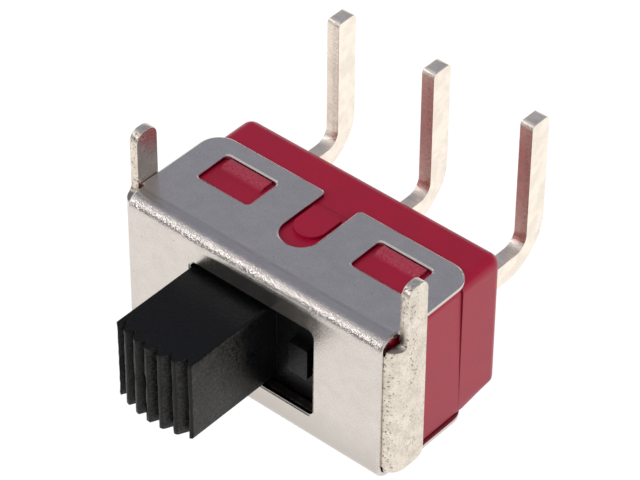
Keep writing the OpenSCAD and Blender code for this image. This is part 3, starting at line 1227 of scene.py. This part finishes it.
class SWITCH_OT_works(bpy.types.Operator):
    """Finish the spring, plunger and contacts inside"""

    bl_idname = "switch.works"
    bl_label = "Inner Works"

    def execute(self, context):
        silver = drawn_metal("coined_silver", tone="d9d4c8", rough=0.2)
        for node in ("rocker", "left_contact", "right_contact"):
            refinish(node, silver)
        refinish("plunger", drawn_metal("turned_brass", tone="c9a766", rough=0.18))
        wire = drawn_metal("drawn_spring_steel", tone="b4b6ba", rough=0.25)
        spring = make_piece(
            "coil_spring", whole_mesh("detent_spring"), wire, "detent_spring"
        )
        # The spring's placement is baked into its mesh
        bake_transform(spring)
        return {"FINISHED"}


class SWITCH_OT_studio(bpy.types.Operator):
    """Set up the floor, the light and the camera"""

    bl_idname = "switch.studio"
    bl_label = "Studio"

    def execute(self, context):
        lay_floor()
        light_world()
        hang_lamps()
        place_camera()
        context.scene.view_settings.view_transform = "Standard"
        return {"FINISHED"}


# ---- Studio ----


def seen_rays(tree):
    """1 for what the camera sees, straight or in metal and glass."""
    path = add(tree, "LightPath").node.outputs
    seen = add(tree, "Math", (path["Is Camera Ray"], path["Is Glossy Ray"]), operation="MAXIMUM")
    return add(tree, "Math", (seen, path["Is Transmission Ray"]), operation="MAXIMUM")


def lay_floor():
    """White table top, a little lit from within so that it shows as a white sweep."""
    data = bpy.data.meshes.new("table_top")
    # Half its width, in metres
    half = 0.4
    corners = [(-half, -half, 0), (half, -half, 0), (half, half, 0), (-half, half, 0)]
    data.from_pydata([Vector(c) for c in corners], [], [(0, 1, 2, 3)])
    floor = bpy.data.objects.new("table_top", data)
    # A hair lower than the switch stands, so that none of its faces lies in the table
    floor.location.z = -0.02 * MM
    bpy.context.scene.collection.objects.link(floor)
    material = bpy.data.materials.new("white_table")
    material.use_nodes = True
    tree = material.node_tree
    tree.nodes.clear()
    matt = add(tree, "BsdfDiffuse", {"Color": colour("f8f8f8")})
    # What metal mirrors of the table greys far in front, where the light falls off
    place = add(tree, "SeparateXYZ", (in_millimetres(tree),)).node.outputs
    far = add(tree, "MapRange", (place[1], -60, -16, 0.6, 1.08))
    path = add(tree, "LightPath").node.outputs
    level = add(tree, "Math", (far, path["Is Camera Ray"]), operation="MAXIMUM")
    glow = add(tree, "Emission", {"Color": (1, 1, 1, 1), "Strength": level})
    # A little of the table's own shading stays, so that it takes the switch's shadow
    share = add(tree, "Math", (seen_rays(tree), 0.92), operation="MULTIPLY")
    mixed = add(tree, "MixShader", (share, matt, glow))
    add(tree, "OutputMaterial", {"Surface": mixed})
    data.materials.append(material)


def light_world():
    """The room that gloss mirrors: a white horizon behind, a dim ceiling, a softbox in front."""
    world = bpy.data.worlds.new("studio_room")
    world.use_nodes = True
    tree = world.node_tree
    tree.nodes.clear()
    # The way from the switch to a point of the room, as parts of a unit vector
    way = add(tree, "TexCoord", out="Generated")
    across, along, up = add(tree, "SeparateXYZ", (way,)).node.outputs
    horizon, ceiling = (1, 1, 1, 1), colour("9ea2b1")
    behind = add(
        tree,
        "Mix",
        {0: add(tree, "MapRange", (up, 0.1, 0.3)), 6: horizon, 7: ceiling},
        out=2,
        data_type="RGBA",
    )
    wall = (0.3, 0.3, 0.32, 1)
    softbox = (2.9, 2.9, 3.0, 1)
    roof = (0.7, 0.7, 0.74, 1)
    low = add(
        tree,
        "Mix",
        {0: add(tree, "MapRange", (up, 0.3, 0.6)), 6: wall, 7: roof},
        out=2,
        data_type="RGBA",
    )
    # The softbox is a band in front, on the left, well above the horizon
    band = add(
        tree,
        "Math",
        (add(tree, "MapRange", (up, 0.4, 0.46)), add(tree, "MapRange", (up, 0.58, 0.54))),
        operation="MULTIPLY",
    )
    band = add(
        tree, "Math", (band, add(tree, "MapRange", (across, 0.1, -0.1))), operation="MULTIPLY"
    )
    ahead = add(tree, "Mix", {0: band, 6: low, 7: softbox}, out=2, data_type="RGBA")
    shown = add(
        tree,
        "Mix",
        {0: add(tree, "MapRange", (along, -0.16, 0.04)), 6: ahead, 7: behind},
        out=2,
        data_type="RGBA",
    )
    # Matt surfaces are lit by an even grey room instead
    soft = (0.36, 0.36, 0.36, 1)
    tint = add(tree, "Mix", {0: seen_rays(tree), 6: soft, 7: shown}, out=2, data_type="RGBA")
    sky = add(tree, "Background", {"Color": tint, "Strength": 1.0})
    add(tree, "OutputWorld", {"Surface": sky})
    bpy.context.scene.world = world


def hang_lamps():
    """A soft key in front, one above, and weaker fills low on the right and behind."""
    # Each lamp's name, place and side of its square in metres, and power in watts
    lamps = (
        ("key", (-0.049, -0.066, 0.066), 0.045, 0.045),
        ("top", (0.0, -0.01, 0.12), 0.06, 0.035),
        ("fill", (0.12, -0.02, 0.035), 0.06, 0.075),
        ("rim", (0.0, 0.12, 0.02), 0.06, 0.055),
    )
    middle = Vector((0, 0.002, 0.003))
    for name, place, size, power in lamps:
        data = bpy.data.lights.new(name, "AREA")
        data.shape = "SQUARE"
        data.size = size
        data.energy = power
        lamp = bpy.data.objects.new(name, data)
        lamp.location = place
        aim = middle - lamp.location
        lamp.rotation_euler = aim.to_track_quat("-Z", "Y").to_euler()
        # Gloss mirrors the room's own softbox, which the world draws
        lamp.visible_glossy = False
        bpy.context.scene.collection.objects.link(lamp)


def place_camera():
    """A long lens in front, to the right and above."""
    studio = bpy.context.scene.switch_studio
    turn, lift, roll = studio.azimuth, studio.elevation, studio.roll
    back = Vector(
        (math.sin(turn) * math.cos(lift), -math.cos(turn) * math.cos(lift), math.sin(lift))
    )
    level = Vector((math.cos(turn), math.sin(turn), 0))
    rise = back.cross(level)
    right = level * math.cos(roll) + rise * math.sin(roll)
    up = rise * math.cos(roll) - level * math.sin(roll)
    axes = Matrix((right, up, back)).transposed()
    # The view's middle passes this far across and above the foot of the front plate
    past, foot = Vector((2.582, 6.001, 0)), Vector((0, -1.40, 0.35))
    aim = axes @ past * MM + foot * MM
    data = bpy.data.cameras.new("camera")
    data.sensor_width = 36
    data.lens = studio.lens
    data.clip_start = 0.005
    data.clip_end = 10
    camera = bpy.data.objects.new("camera", data)
    camera.matrix_world = Matrix.Translation(aim + back * studio.distance) @ axes.to_4x4()
    bpy.context.scene.collection.objects.link(camera)
    bpy.context.scene.camera = camera


# ---- Panel and registration ----

OPERATORS = (
    SWITCH_OT_frame,
    SWITCH_OT_bracket,
    SWITCH_OT_case,
    SWITCH_OT_slider,
    SWITCH_OT_terminals,
    SWITCH_OT_works,
    SWITCH_OT_studio,
)
GROUPS = {
    "switch_edges": SwitchEdges,
    "switch_colours": SwitchColours,
    "switch_studio": SwitchStudio,
}


class SWITCH_PT_panel(bpy.types.Panel):
    """Lists the sizes, the colours and the steps."""

    bl_idname = "SWITCH_PT_panel"
    bl_label = "Slide Switch"
    bl_space_type = "VIEW_3D"
    bl_region_type = "UI"
    bl_category = "Slide Switch"

    def draw(self, context):
        for name, group in GROUPS.items():
            box = self.layout.box()
            for key in group.__annotations__:
                box.prop(getattr(context.scene, name), key)
        for operator in OPERATORS:
            self.layout.operator(operator.bl_idname)


CLASSES = (*GROUPS.values(), *OPERATORS, SWITCH_PT_panel)


def register():
    for cls in CLASSES:
        bpy.utils.register_class(cls)
    for name, group in GROUPS.items():
        setattr(bpy.types.Scene, name, bpy.props.PointerProperty(type=group))


def unregister():
    for name in GROUPS:
        delattr(bpy.types.Scene, name)
    for cls in reversed(CLASSES):
        bpy.utils.unregister_class(cls)


def main():
    register()
    for operator in OPERATORS:
        group, name = operator.bl_idname.split(".")
        getattr(getattr(bpy.ops, group), name)()


if __name__ == "__main__":
    main()
